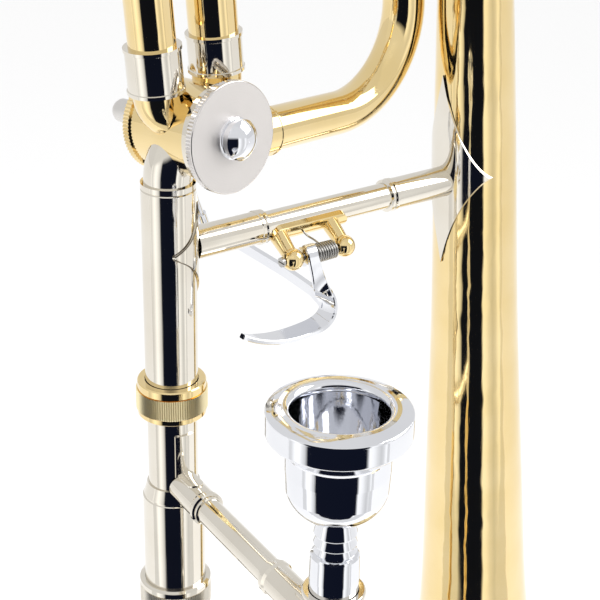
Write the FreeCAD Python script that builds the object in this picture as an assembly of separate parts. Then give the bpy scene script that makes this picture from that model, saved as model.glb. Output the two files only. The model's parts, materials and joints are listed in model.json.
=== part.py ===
"""Tenor trombone in B flat and F: bell section, rotary valve with thumb trigger, hand slide, mouthpiece.

Row frame, millimetres: +Z runs up the slide receiver's axis, away from the bell's mouth; +X points from
the receiver to the bell; -Y points to the mouthpiece.  The origin is on the receiver's axis, level with
the brace that joins it to the bell, which is where the left hand holds the instrument.
"""
import FreeCAD
import Part
import math
import os

V = FreeCAD.Vector
UP = V(0, 0, 1)

# ---- driving dimensions --------------------------------------------------------------------------
WALL = 0.45                      # thickness of drawn tube
RUN_GAP = 0.06                   # radial clearance of sliding and turning fits
BELL_LEAN = math.radians(4.88)   # the bell leans towards the slide at its tail
BELL_X = 119.92                  # bell axis, level with the hand brace
BELL_AXIS = V(-math.sin(BELL_LEAN), 0, math.cos(BELL_LEAN))
BELL_CENTRE = V(BELL_X, 0, 0)
BELL_RIM = -345.0                # along the bell axis from the brace
BELL_TAIL = 98.0
BELL_MOUTH_R = 108.0
BELL_WALL = 0.5

BRACE_R = 5.14                   # hand brace: ferrules and the slimmer tube between them
BRACE_MID_R = 4.32
BRACE_RING_1 = 33.6              # where the ferrules end, along +X
BRACE_RING_2 = 80.7

RECEIVER_R = 8.19                # slide receiver sleeve
RECEIVER_TOP = 21.7
RECEIVER_BOTTOM = -51.0
SOCKET_R = 7.62
THREAD_R = 9.2
THREAD_TOP = -44.8

NECK_R = 7.3                     # outer radius of tube on the straight windway
F_R = 6.9                        # outer radius of tube in the F loop

NUT_TOP = -43.2                  # knurled nut that locks the hand slide in its receiver
NUT_R = 10.7
NUT_KNURL_R = 11.15
NUT_LOW = -54.9

SLIDE_DIR = V(-5.69, -93.75, 0)  # from the bell-side slide tube to the mouthpiece-side one
SLIDE_WIDTH = SLIDE_DIR.Length
SLIDE_U = V(SLIDE_DIR.x / SLIDE_WIDTH, SLIDE_DIR.y / SLIDE_WIDTH, 0)
TOP_TUBE_R = 7.87
TENON_R = SOCKET_R - RUN_GAP
BORE_R = 6.95
INNER_R = 7.1                    # inner slide tube, and the stocking at its end
STOCKING_R = 7.28
OUTER_IN_R = STOCKING_R + RUN_GAP
OUTER_R = 7.78
BARREL_TOP = -80.0
BARREL_R = 9.88
BARREL_LOW = -127.0
INNER_BRACE_Z = -78.7
INNER_BRACE_R = 5.0
LOCK_RING_TOP = -116.5
LOCK_RING_R = 11.6
LOCK_RING_LOW = -127.4
OUTER_TOP = -113.0
OUTER_BRACE_Z = -152.0
LEGS_END = -752.0                # where the straight slide tubes meet the slide bow

MOUTHPIECE_Z = -7.2
RIM_R = 19.1              # level of the rim's highest circle
MOUTHPIECE_SEAT = -63.2          # top of the receiver that the shank sits in

VALVE_FRONT = V(13.05, -15.0, 36.98)   # centre of the valve cap's front face
VALVE_TURN = math.radians(11.63)       # the valve axis, turned from -Y towards +X
VALVE_RISE = math.radians(4.03)        # and raised
CAP_R = 16.4
CASING_R = 13.9
COLLAR_R = 15.2
CASING_FRONT = -5.4              # along the valve axis from the cap's front face
CASING_BACK = -29.0
BACK_RING_END = -31.4
ROTOR_R = 12.6
STOP_ARM_W = -38.5
SPINDLE_REACH = 22.5             # rotor spindle beyond the back of the rotor
STOP_ARM_LENGTH = 14.0
TRIGGER_TRAVEL = math.radians(16.0)

PIVOT_Y = -12.0                  # thumb trigger's pivot rod, parallel to the hand brace
PIVOT_Z = -7.55
POST_X = (36.6, 56.2)
BALL_R = 3.5

MAIN_LEG_X = 17.6                # straight windway beside the valve, at LEG_LEVEL
MAIN_LEG_Y = 3.0
UPPER_LEG_X = -4.5               # F loop's return beside the valve, at LEG_LEVEL
LEG_LEVEL = 65.0
MAIN_BOW_BASE = 196.0
F_PLANE_Y = 24.0                 # the F tuning slide's plane
F_RIGHT_X = 97.0                 # F loop's outgoing tube at LEG_LEVEL
F_BOW_BASE = 292.0

OUT = "parts"
os.makedirs(OUT, exist_ok=True)


def save(name, *solids):
    """Write one node; its solids stay separate."""
    pieces = []
    for shape in solids:
        pieces.extend(shape.Solids)
    whole = pieces[0] if len(pieces) == 1 else Part.makeCompound(pieces)
    whole.exportStep(os.path.join(OUT, name + ".step"))
    return whole


# ---- general shapes ------------------------------------------------------------------------------
def frame_at(origin, direction, side=None):
    """Placement whose local +Z runs along direction; side is the way local +X leans."""
    z = V(direction)
    z.normalize()
    guess = V(side) if side else (V(1, 0, 0) if abs(z.x) < 0.9 else V(0, 1, 0))
    y = z.cross(guess)
    y.normalize()
    x = y.cross(z)
    return FreeCAD.Placement(origin, FreeCAD.Rotation(x, y, z, "ZXY"))


def placed(shape, origin, direction, side=None):
    moved = shape.copy()
    moved.Placement = frame_at(origin, direction, side).multiply(moved.Placement)
    return moved


def turned(steps, origin=V(0, 0, 0), direction=UP):
    """Solid of revolution.  steps are (radius, height) corners; a step ("arc", mid, end) is round and
    ("curve", points) is smooth."""
    edges = []
    here = V(steps[0][0], 0, steps[0][1])
    for step in steps[1:] + [steps[0]]:
        if step[0] == "arc":
            mid = V(step[1][0], 0, step[1][1])
            end = V(step[2][0], 0, step[2][1])
            edges.append(Part.Arc(here, mid, end).toShape())
        elif step[0] == "curve":
            line = Part.BSplineCurve()
            points = [here] + [V(r, 0, h) for r, h in step[1]]
            line.interpolate(points)
            end = points[-1]
            edges.append(line.toShape())
        else:
            end = V(step[0], 0, step[1])
            if (end - here).Length > 1e-6:
                edges.append(Part.LineSegment(here, end).toShape())
        here = end
    solid = Part.Face(Part.Wire(edges)).revolve(V(0, 0, 0), UP, 360)
    if solid.Volume < 0:
        solid.reverse()
    return placed(solid, origin, direction)


def dome(radius, low, high):
    """Step of a turned outline: a spherical crown from (radius, low) up to the axis at high."""
    sag = high - low
    ball = (radius * radius + sag * sag) / (2 * abs(sag))
    half = math.asin(min(1.0, radius / ball)) / 2
    sign = 1 if sag > 0 else -1
    return ("arc", (ball * math.sin(half), high - sign * ball * (1 - math.cos(half))), (0, high))


def rod(radius, start, end):
    return Part.makeCylinder(radius, (end - start).Length, start, end - start)


def ring(outer, inner, start, end):
    return rod(outer, start, end).cut(rod(inner, start, end))


def ferrule(outer, inner, start, end, bead=0.35, lip=1.0):
    """Sleeve with a fine raised bead at both ends."""
    length = (end - start).Length
    steps = [(inner, 0), (outer + bead, 0), (outer + bead, lip), (outer, lip + 0.2),
             (outer, length - lip - 0.2), (outer + bead, length - lip), (outer + bead, length), (inner, length)]
    return turned(steps, start, end - start)


def route(points, radii):
    """Straight runs joined by tangent arcs; radii has one bend radius for each inner point."""
    edges = []
    here = points[0]
    for i, radius in enumerate(radii, 1):
        before = points[i - 1] - points[i]
        after = points[i + 1] - points[i]
        before.normalize()
        after.normalize()
        half = before.getAngle(after) / 2
        back = radius / math.tan(half)
        enter = points[i] + before * back
        leave = points[i] + after * back
        middle = before + after
        middle.normalize()
        centre = points[i] + middle * (radius / math.sin(half))
        crown = centre - middle * radius
        if (enter - here).Length > 1e-6:
            edges.append(Part.LineSegment(here, enter).toShape())
        edges.append(Part.Arc(enter, crown, leave).toShape())
        here = leave
    edges.append(Part.LineSegment(here, points[-1]).toShape())
    return edges


def swept(edges, radius):
    """Round bar along the edges."""
    path = Part.Wire(edges)
    start = edges[0].valueAt(edges[0].FirstParameter)
    heading = edges[0].tangentAt(edges[0].FirstParameter)
    section = Part.Wire([Part.Circle(start, heading, radius).toShape()])
    return path.makePipeShell([section], True, False)


def pipe(points, radii, outer, inner):
    """Tube and the bore inside it."""
    edges = route(points, radii)
    bore = swept(edges, inner)
    return swept(edges, outer).cut(bore), bore


def half_bow(base_a, base_b, up, outer_a, outer_b, wall):
    """Half-round bow between two leg ends, tapering from one leg's radius to the other's."""
    centre = (base_a + base_b) * 0.5
    radius = (base_b - base_a).Length / 2
    arc = Part.Arc(base_a, centre + up * radius, base_b).toShape()
    solids = []
    for inset in (0, wall):
        first = Part.Wire([Part.Circle(base_a, up, outer_a - inset).toShape()])
        last = Part.Wire([Part.Circle(base_b, up, outer_b - inset).toShape()])
        solids.append(Part.Wire([arc]).makePipeShell([first, last], True, False))
    return solids[0].cut(solids[1])


def knurled(outer, inner, height, teeth, depth, origin, direction):
    """Ring with straight knurling along its rim."""
    corners = []
    for i in range(teeth * 2):
        angle = math.pi * i / teeth
        radius = outer if i % 2 == 0 else outer - depth
        corners.append(V(radius * math.cos(angle), radius * math.sin(angle), 0))
    corners.append(corners[0])
    body = Part.Face(Part.makePolygon(corners)).extrude(V(0, 0, height))
    body = body.cut(Part.makeCylinder(inner, height))
    return placed(body, origin, direction)


def coil(radius, wire, turns, pitch, origin, direction):
    """Close-wound spring body."""
    helix = Part.makeLongHelix(pitch, pitch * turns, radius)
    section = Part.Wire([Part.Circle(V(radius, 0, 0), V(0, radius, pitch / (2 * math.pi)), wire).toShape()])
    body = Part.Wire(helix.Edges).makePipeShell([section], True, True)
    return placed(body, origin, direction)


def diamond_flange(half_long, half_wide, waist, skin_outer, skin_inner, toward, centre, long_way):
    """Thin diamond leaf wrapped on a tube: the part of a thin skin that lies in a diamond prism.  waist is
    under 0.5 where the diamond's sides curve inwards."""
    leaf = []
    for a, b in ((1, 0), (0, 1), (-1, 0), (0, -1)):
        leaf.append((a * half_long, b * half_wide))
    edges = []
    for i in range(4):
        x0, y0 = leaf[i]
        x1, y1 = leaf[(i + 1) % 4]
        mid = ((x0 + x1) * waist, (y0 + y1) * waist)
        edges.append(Part.Arc(V(x0, y0, 0), V(mid[0], mid[1], 0), V(x1, y1, 0)).toShape())
    reach = skin_outer.BoundBox.DiagonalLength
    prism = Part.Face(Part.Wire(edges)).extrude(V(0, 0, min(reach, 60)))
    prism = placed(prism, centre, toward, long_way)
    return skin_outer.common(prism).cut(skin_inner)


# half height of the leaf round the receiver against degrees round it from the brace
LEAF_EDGE = [(-12, 19.6), (0, 17.0), (20, 12.9), (45, 8.5), (56, 6.5), (70, 4.4), (85, 2.7), (100, 1.3),
             (114, 0.2)]
LEAF_LEVEL = 0.6


def wrapped_half(skin, side):
    """One half of the long leaf wrapped round the receiver, from the brace to its tip; side is -1 or 1."""
    facing = V(math.cos(math.radians(60)), side * math.sin(math.radians(60)), 0)
    across = UP.cross(facing) * -side
    upper = []
    lower = []
    for turn, half in LEAF_EDGE:
        out = across * (RECEIVER_R * math.sin(math.radians(60 - turn)))
        upper.append(out + UP * (LEAF_LEVEL + half))
        lower.append(out + UP * (LEAF_LEVEL - half))
    edges = []
    for points in (upper, lower):
        curve = Part.BSplineCurve()
        curve.interpolate(points)
        edges.append(curve.toShape())
    edges.append(Part.makeLine(upper[-1], lower[-1]))
    edges.append(Part.makeLine(upper[0], lower[0]))
    outline = Part.Face(Part.Wire(Part.__sortEdges__(edges)))
    half_space = Part.makeBox(60, 30, 80, V(-30, 0 if side > 0 else -30, -40))
    return skin.common(outline.extrude(facing * 20)).common(half_space)


# ---- bell ----------------------------------------------------------------------------------------
def bell_point(height, side=0.0, depth=0.0):
    """Point at a height along the bell axis, with offsets across it."""
    across = V(math.cos(BELL_LEAN), 0, math.sin(BELL_LEAN))
    return BELL_CENTRE + BELL_AXIS * height + across * side + V(0, depth, 0)


# outer radius of the bell against distance from its mouth
BELL_CURVE = [(108.0, 0.0), (90.0, 9.0), (76.0, 20.0), (59.0, 40.0), (46.5, 62.0), (33.0, 98.0),
              (24.8, 133.0), (20.8, 166.0), (18.6, 210.0), (16.8, 254.0), (15.2, 297.0), (14.1, 345.0),
              (12.6, 400.0), (11.0, 443.0)]


def bell_radius(height):
    """Outer radius at a height along the bell axis."""
    distance = height - BELL_RIM
    for (r0, d0), (r1, d1) in zip(BELL_CURVE, BELL_CURVE[1:]):
        if d0 <= distance <= d1:
            return r0 + (r1 - r0) * (distance - d0) / (d1 - d0)
    return BELL_CURVE[-1][0]


def bell_solid(grow_out, grow_in):
    """Bell skin between two offsets of its outer curve."""
    out = [(r + grow_out, BELL_RIM + d) for r, d in BELL_CURVE]
    inn = [(r - grow_in, BELL_RIM + d) for r, d in BELL_CURVE]
    steps = [out[0], ("curve", out[1:]), inn[-1], ("curve", inn[-2::-1])]
    return turned(steps, BELL_CENTRE, BELL_AXIS)


def bell_core(grow):
    """Everything inside the bell's outer curve, for trimming what is soldered on it."""
    out = [(r + grow, BELL_RIM + d) for r, d in BELL_CURVE]
    return turned([out[0], ("curve", out[1:]), (0, out[-1][1]), (0, out[0][1])], BELL_CENTRE, BELL_AXIS)


def make_bell():
    bell = bell_solid(0, BELL_WALL)
    save("bell", bell)
    rim = BELL_MOUTH_R
    steps = [(rim - BELL_WALL - 0.1, -1.3), (rim + 0.3, -1.3), ("arc", (rim + 1.7, 0.1), (rim + 0.3, 1.5)),
             (rim + 0.02, 1.5), (rim + 0.02, 0), (rim - BELL_WALL - 0.1, 0)]
    save("bell_rim_bead", turned(steps, bell_point(BELL_RIM), BELL_AXIS))
    return bell


# ---- valve ---------------------------------------------------------------------------------------
VALVE_N = V(math.sin(VALVE_TURN) * math.cos(VALVE_RISE), -math.cos(VALVE_TURN) * math.cos(VALVE_RISE),
            math.sin(VALVE_RISE))
VALVE_RIGHT = V(math.cos(VALVE_TURN), math.sin(VALVE_TURN), 0)
VALVE_UP = VALVE_N.cross(VALVE_RIGHT)


def valve_point(right, up, along):
    return VALVE_FRONT + VALVE_RIGHT * right + VALVE_UP * up + VALVE_N * along


VALVE_HEART = valve_point(0, 0, (CASING_FRONT + CASING_BACK) / 2)


def leg_point(x, y, z):
    """Point on a tube that runs beside the bell and parallel to it, x being its place at LEG_LEVEL."""
    return V(x - (z - LEG_LEVEL) * math.tan(BELL_LEAN), y, z)


F_RUN_START = V(13.0, -2.0, 31.3)
F_RUN_CORNER = leg_point(F_RIGHT_X, 15.0, 26.5)


def windway_tubes():
    """Tubes soldered to the valve casing, as name: (points, bend radii, outer radius)."""
    neck = ([V(0, 0, 9.0), V(0, 0, 27.5), VALVE_HEART + V(0.5, 0, 5.0)], [17.0], NECK_R)
    main = ([leg_point(MAIN_LEG_X, MAIN_LEG_Y, 92.0), leg_point(MAIN_LEG_X, MAIN_LEG_Y, 45.0),
             VALVE_HEART + V(1.5, 0, 0)], [14.0], NECK_R)
    upper = ([leg_point(UPPER_LEG_X, F_PLANE_Y, 160.0), leg_point(UPPER_LEG_X, F_PLANE_Y, 133.0),
              leg_point(UPPER_LEG_X, 0.0, 92.0), leg_point(UPPER_LEG_X, 0.0, 42.5),
              V(UPPER_LEG_X + 14.5, 0.5, 39.5)], [34.0, 34.0, 8.0], F_R)
    right = ([F_RUN_START, F_RUN_CORNER, leg_point(F_RIGHT_X, 15.0, 84.0),
              leg_point(F_RIGHT_X, F_PLANE_Y, 120.0), leg_point(F_RIGHT_X, F_PLANE_Y, 160.0)],
             [30.0, 50.0, 50.0], F_R)
    return {"gooseneck": neck, "main_windway_tube": main, "f_return_tube": upper, "f_outgoing_tube": right}


def make_valve():
    front = valve_point(0, 0, CASING_FRONT)
    outside = rod(CASING_R, valve_point(0, 0, CASING_BACK), front)
    inside_r = ROTOR_R + RUN_GAP
    casing = outside.cut(rod(inside_r, valve_point(0, 0, CASING_BACK), valve_point(0, 0, CASING_FRONT)))
    keep_out = rod(CASING_R, valve_point(0, 0, BACK_RING_END - 1), valve_point(0, 0, 0))
    under_collar = rod(COLLAR_R + 0.02, front, valve_point(0, 0, 0))
    tubes = {}
    for name, (points, radii, outer) in windway_tubes().items():
        tube, bore = pipe(points, radii, outer, outer - WALL)
        tubes[name] = max(tube.cut(keep_out).cut(under_collar).Solids, key=lambda s: s.Volume)
        casing = casing.cut(bore)
    save("valve_casing", max(casing.Solids, key=lambda s: s.Volume))
    for name, tube in tubes.items():
        save(name, tube)

    back = valve_point(0, 0, CASING_BACK)
    save("valve_back_ring", knurled(CASING_R + 0.75, 9.0, 2.4, 84, 0.35,
                                    valve_point(0, 0, BACK_RING_END), VALVE_N))
    bearing = turned([(3.66, 0), (inside_r - 0.02, 0), (inside_r - 0.02, 1.6), (6.0, 1.6), (6.0, -2.0 + 0.2),
                      (3.66, -1.8)], back, VALVE_N)
    plate = turned([(3.06, 0), (inside_r - 0.02, 0), (inside_r - 0.02, -1.6), (3.06, -1.6)], front, VALVE_N)
    save("valve_bearings", bearing, plate)
    collar = turned([(inside_r, 0.02), (COLLAR_R, 0.02), (COLLAR_R, 2.4), (inside_r, 2.4)], front, VALVE_N)
    save("valve_front_collar", collar)

    cap = [(0, 0), (CAP_R - 0.4, 0), ("arc", (CAP_R - 0.12, -0.12), (CAP_R, -0.4)), (CAP_R, -0.5),
           (CAP_R - 0.5, -0.5), (CAP_R - 0.5, -2.5), (4.0, -2.5), (4.0, -1.6), (0, -1.6)]
    cap_body = turned(cap, VALVE_FRONT, VALVE_N)
    rim = knurled(CAP_R, CAP_R - 0.5, 2.0, 96, 0.3, valve_point(0, 0, -2.5), VALVE_N)
    save("valve_cap", cap_body.fuse(rim))
    hub = [(0, 0.02), (6.2, 0.02), (6.2, 0.9), (5.7, 1.1), (5.7, 2.6), (6.0, 2.8), (6.0, 3.6),
           dome(6.0, 3.6, 6.4)]
    save("valve_cap_button", turned(hub, VALVE_FRONT, VALVE_N))


def rotor_shape():
    low = CASING_BACK + 1.8
    high = CASING_FRONT - 1.8
    body = rod(ROTOR_R, valve_point(0, 0, low), valve_point(0, 0, high))
    heart = valve_point(0, 0, (low + high) / 2)
    for side in (-1, 1):
        away = VALVE_RIGHT * (16.0 * side)
        body = body.cut(Part.makeTorus(10.0, 5.6, heart + away, VALVE_N))
    return max(body.Solids, key=lambda s: s.Volume), low, high


STOP_REST = math.radians(-26.0)      # the stop arm at rest, measured from level


def stop_pin(angle):
    """Centre of the stop arm's ball when the arm stands at an angle above level."""
    return valve_point(STOP_ARM_LENGTH * math.cos(angle), STOP_ARM_LENGTH * math.sin(angle), STOP_ARM_W - 4.2)


def make_rotor():
    body, low, high = rotor_shape()
    save("rotor", body)
    rear = turned([(0, 0), (3.6, 0), (3.6, 21.4), (3.0, SPINDLE_REACH), (0, SPINDLE_REACH)],
                  valve_point(0, 0, low - 0.02), VALVE_N * -1)
    nose = rod(3.0, valve_point(0, 0, high + 0.02), valve_point(0, 0, CASING_FRONT + 1.2))
    save("rotor_spindle", rear, nose)
    hub = rod(6.2, valve_point(0, 0, STOP_ARM_W - 1.6), valve_point(0, 0, STOP_ARM_W + 1.6))
    tip = valve_point(STOP_ARM_LENGTH * math.cos(STOP_REST), STOP_ARM_LENGTH * math.sin(STOP_REST), STOP_ARM_W)
    arm_side = VALVE_RIGHT * math.cos(STOP_REST) + VALVE_UP * math.sin(STOP_REST)
    bar = Part.makeBox(STOP_ARM_LENGTH, 5.0, 3.2, V(0, -2.5, -1.6))
    bar = placed(bar, valve_point(0, 0, STOP_ARM_W), VALVE_N, arm_side)
    eye = rod(3.0, tip - VALVE_N * 1.6, tip + VALVE_N * 1.6)
    stud = rod(1.1, tip - VALVE_N * 1.6, tip - VALVE_N * 5.8)
    ball = Part.makeSphere(1.5, stop_pin(STOP_REST))
    arm = hub.fuse([bar, eye, stud, ball]).cut(rod(3.6, valve_point(0, 0, -45), valve_point(0, 0, -30)))
    save("stop_arm", arm.removeSplitter())
    end = VALVE_FRONT + VALVE_N * (low - SPINDLE_REACH - 0.04)
    screw = turned([(0, 0), (2.4, 0), (2.4, 0.7), dome(2.4, 0.7, 1.5)], end, VALVE_N * -1)
    slot = Part.makeBox(6, 0.6, 1.0, V(-3, -0.3, 0.8))
    save("rotor_end_screw", screw.cut(placed(slot, end, VALVE_N * -1)))


def make_stops():
    """Plate on the back bearing that carries the two cork bumpers."""
    plate_w = BACK_RING_END - 1.6
    plate = rod(8.8, valve_point(0, 0, plate_w), valve_point(0, 0, BACK_RING_END - 0.02))
    corks = []
    posts = []
    for sign in (-1, 1):
        angle = sign * (abs(STOP_REST) + math.radians(31.5))
        place = valve_point(9.0 * math.cos(angle), 9.0 * math.sin(angle), plate_w)
        posts.append(rod(3.2, place, place + VALVE_N * 1.5))
        corks.append(rod(2.1, place - VALVE_N * 7.0, place - VALVE_N * 0.02))
    plate = plate.fuse(posts).cut(rod(6.05, valve_point(0, 0, -40), valve_point(0, 0, -20)))
    save("stop_plate", plate.removeSplitter())
    save("stop_corks", *corks)


# ---- receiver and hand brace ---------------------------------------------------------------------
def make_receiver():
    groove = 1.6
    steps = [(NECK_R + 0.02, RECEIVER_TOP), (RECEIVER_R, RECEIVER_TOP), (RECEIVER_R, RECEIVER_TOP - groove),
             (RECEIVER_R - 0.25, RECEIVER_TOP - groove - 0.3), (RECEIVER_R, RECEIVER_TOP - groove - 0.6),
             (RECEIVER_R, THREAD_TOP)]
    pitch = 1.2
    turns = int((THREAD_TOP - RECEIVER_BOTTOM) / pitch)
    for i in range(turns):
        level = THREAD_TOP - i * pitch
        steps += [(THREAD_R - 0.35, level - 0.02), (THREAD_R, level - pitch / 2), (THREAD_R - 0.35, level - pitch)]
    steps += [(THREAD_R - 0.35, RECEIVER_BOTTOM), (SOCKET_R, RECEIVER_BOTTOM), (SOCKET_R, 8.0),
              (NECK_R + 0.02, 8.6)]
    save("slide_receiver", turned(steps))


def make_hand_brace():
    ends = (bell_point(0) - V(bell_radius(0) - 1.0, 0, 0)).x
    bell_skin = bell_core(0.64)
    sleeve = rod(RECEIVER_R + 0.62, V(0, 0, -40), V(0, 0, 21))
    save("hand_brace_tube", rod(BRACE_MID_R, V(16, 0, 0), V(98, 0, 0)))
    solids = []
    for start, end, near in ((RECEIVER_R, BRACE_RING_1, 1), (ends, BRACE_RING_2, -1)):
        steps = [(BRACE_MID_R + 0.02, 0), (BRACE_R, 0), (BRACE_R, abs(end - start) - 3.2)]
        top = abs(end - start)
        steps += [(BRACE_R + 0.3, top - 3.0), (BRACE_R + 0.3, top - 2.0), (BRACE_R - 0.1, top - 1.7),
                  (BRACE_R + 0.2, top - 1.2), (BRACE_R + 0.2, top - 0.3), (BRACE_MID_R + 0.02, top)]
        solids.append(turned(steps, V(start, 0, 0), V(near, 0, 0)).cut(sleeve).cut(bell_skin))
    save("hand_brace_ferrules", *solids)
    skin_out = rod(RECEIVER_R + 0.6, V(0, 0, -40), V(0, 0, 21))
    skin_in = rod(RECEIVER_R + 0.01, V(0, 0, -41), V(0, 0, 22))
    leaf_skin = skin_out.cut(skin_in)
    save("receiver_flange", wrapped_half(leaf_skin, -1).fuse(wrapped_half(leaf_skin, 1)).removeSplitter())
    leaf = diamond_flange(33.4, 13.5, 0.45, bell_core(0.62), bell_core(0.02), V(-1, 0, 0),
                          bell_point(3.65), BELL_AXIS)
    save("bell_flange", leaf)


# ---- tuning slides -------------------------------------------------------------------------------
def make_bell_section_tubes():
    """Ferrules, outer slide tubes and small braces above the valve."""
    def on(x, y, z):
        return leg_point(x, y, z)

    main_in = NECK_R + RUN_GAP
    small = ring(main_in + WALL, main_in, on(MAIN_LEG_X, MAIN_LEG_Y, 92.0), on(MAIN_LEG_X, MAIN_LEG_Y, 176.0))
    tail_r = BELL_CURVE[-1][0]
    start = bell_point(BELL_TAIL - 8.0)
    steps = [(11.45, 0), (12.1, 0), (12.1, 16.0), (11.6, 16.4), (11.6, 18.0), (tail_r - 0.3, 18.0),
             (tail_r - 0.3, 9.0), (tail_r + 0.35, 8.0), (tail_r + 0.6, 0)]
    collars = [turned(steps[2:] + steps[:2], start, BELL_AXIS)]
    big_in = 10.2 + RUN_GAP
    large = ring(big_in + WALL, big_in, bell_point(BELL_TAIL + 10.02), bell_point(BELL_TAIL + 82.0))
    save("main_outer_tubes", small, large)
    for x, y, low, high, inner in ((MAIN_LEG_X, MAIN_LEG_Y, 51.8, 63.2, NECK_R),
                                   (UPPER_LEG_X, 0.0, 49.6, 63.0, F_R)):
        collars.append(ferrule(8.05, inner + 0.01, on(x, y, low), on(x, y, high)))
    collars.append(ferrule(8.4, NECK_R + 0.01, on(MAIN_LEG_X, MAIN_LEG_Y, 84.0), on(MAIN_LEG_X, MAIN_LEG_Y, 91.98)))
    outer_f = []
    f_in = F_R + RUN_GAP
    for x in (UPPER_LEG_X, F_RIGHT_X):
        outer_f.append(ring(f_in + WALL, f_in, on(x, F_PLANE_Y, 160.02), on(x, F_PLANE_Y, 262.0)))
    save("f_outer_tubes", *outer_f)
    for x in (UPPER_LEG_X, F_RIGHT_X):
        collars.append(ferrule(8.2, F_R + 0.01, on(x, F_PLANE_Y, 150.0), on(x, F_PLANE_Y, 160.0)))
    heading = F_RUN_CORNER - F_RUN_START
    heading.normalize()
    collars.append(ferrule(F_R + 0.75, F_R + 0.01, F_RUN_START + heading * 18.0, F_RUN_START + heading * 23.6,
                           0.2, 0.5))
    save("windway_ferrules", *collars)


def tube_brace(start, end, radius, keep_clear):
    """Straight brace between two tubes, with a ring at each end."""
    along = end - start
    along.normalize()
    body = rod(radius, start, end)
    for place in (start + along * 9.5, end - along * 11.5):
        body = body.fuse(rod(radius + 0.9, place, place + along * 2.0))
    for tool in keep_clear:
        body = body.cut(tool)
    return max(body.Solids, key=lambda s: s.Volume)


def make_small_braces():
    level = 124.0
    small = leg_point(MAIN_LEG_X, MAIN_LEG_Y, level)
    large = V((bell_point(level)).x, 0, level)
    post_a = rod(NECK_R + RUN_GAP + WALL + 0.02, leg_point(MAIN_LEG_X, MAIN_LEG_Y, 60),
                 leg_point(MAIN_LEG_X, MAIN_LEG_Y, 150))
    post_b = rod(10.2 + RUN_GAP + WALL + 0.02, bell_point(level - 20), bell_point(level + 20))
    braces = [tube_brace(small, large, 3.6, [post_a, post_b])]
    low = leg_point(F_RIGHT_X, 15.0, 64.0)
    bell_side = bell_point(64.0)
    post_c = rod(F_R + 0.02, leg_point(F_RIGHT_X, 15.0, 45), leg_point(F_RIGHT_X, 15.0, 90))
    braces.append(rod(2.6, low, bell_side).cut(post_c).cut(bell_core(0.02)))
    left = leg_point(UPPER_LEG_X, F_PLANE_Y, 196.0)
    right = leg_point(F_RIGHT_X, F_PLANE_Y, 196.0)
    f_out = F_R + RUN_GAP + WALL + 0.02
    tools = []
    for x in (UPPER_LEG_X, F_RIGHT_X):
        tools.append(rod(f_out, leg_point(x, F_PLANE_Y, 170), leg_point(x, F_PLANE_Y, 230)))
    braces.append(tube_brace(left, right, 3.2, tools))
    save("bell_section_braces", *braces)


def make_main_tuning_slide():
    base_s = leg_point(MAIN_LEG_X, MAIN_LEG_Y, MAIN_BOW_BASE)
    base_l = bell_point((base_s - BELL_CENTRE).dot(BELL_AXIS))
    small_low = leg_point(MAIN_LEG_X, MAIN_LEG_Y, 95.0)
    save("main_inner_tubes", ring(NECK_R, NECK_R - WALL, small_low, base_s),
         ring(10.2, 10.2 - WALL, bell_point(BELL_TAIL + 13.0), base_l))
    bow = half_bow(base_s + BELL_AXIS * 0.02, base_l + BELL_AXIS * 0.02, BELL_AXIS, NECK_R + 0.3, 10.5, WALL)
    save("main_tuning_bow", bow)
    rings = [ring(8.4, NECK_R + 0.01, base_s - BELL_AXIS * 12.0, base_s),
             ring(11.4, 10.21, base_l - BELL_AXIS * 12.0, base_l)]
    save("main_slide_ferrules", *rings)
    a = base_s - BELL_AXIS * 6.0
    b = base_l - BELL_AXIS * 6.0
    tools = [rod(8.42, base_s - BELL_AXIS * 20, base_s + BELL_AXIS * 9), rod(11.42, base_l - BELL_AXIS * 20,
                                                                          base_l + BELL_AXIS * 9)]
    save("main_slide_brace", tube_brace(a, b, 3.2, tools))


def make_f_tuning_slide():
    up = BELL_AXIS
    base_a = leg_point(UPPER_LEG_X, F_PLANE_Y, F_BOW_BASE)
    base_b = leg_point(F_RIGHT_X, F_PLANE_Y, F_BOW_BASE)
    offset = (base_b - base_a).dot(up)
    base_b = base_b - up * offset
    legs = []
    rings = []
    for base in (base_a, base_b):
        legs.append(ring(F_R, F_R - WALL, base - up * 125.0, base))
        rings.append(ring(8.1, F_R + 0.01, base - up * 12.0, base))
    save("f_inner_tubes", *legs)
    save("f_tuning_bow", half_bow(base_a + up * 0.02, base_b + up * 0.02, up, F_R + 0.3, F_R + 0.3, WALL))
    save("f_slide_ferrules", *rings)
    tools = [rod(8.12, base_a - up * 20, base_a + up * 9), rod(8.12, base_b - up * 20, base_b + up * 9)]
    save("f_slide_brace", tube_brace(base_a - up * 6, base_b - up * 6, 3.2, tools))


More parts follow.
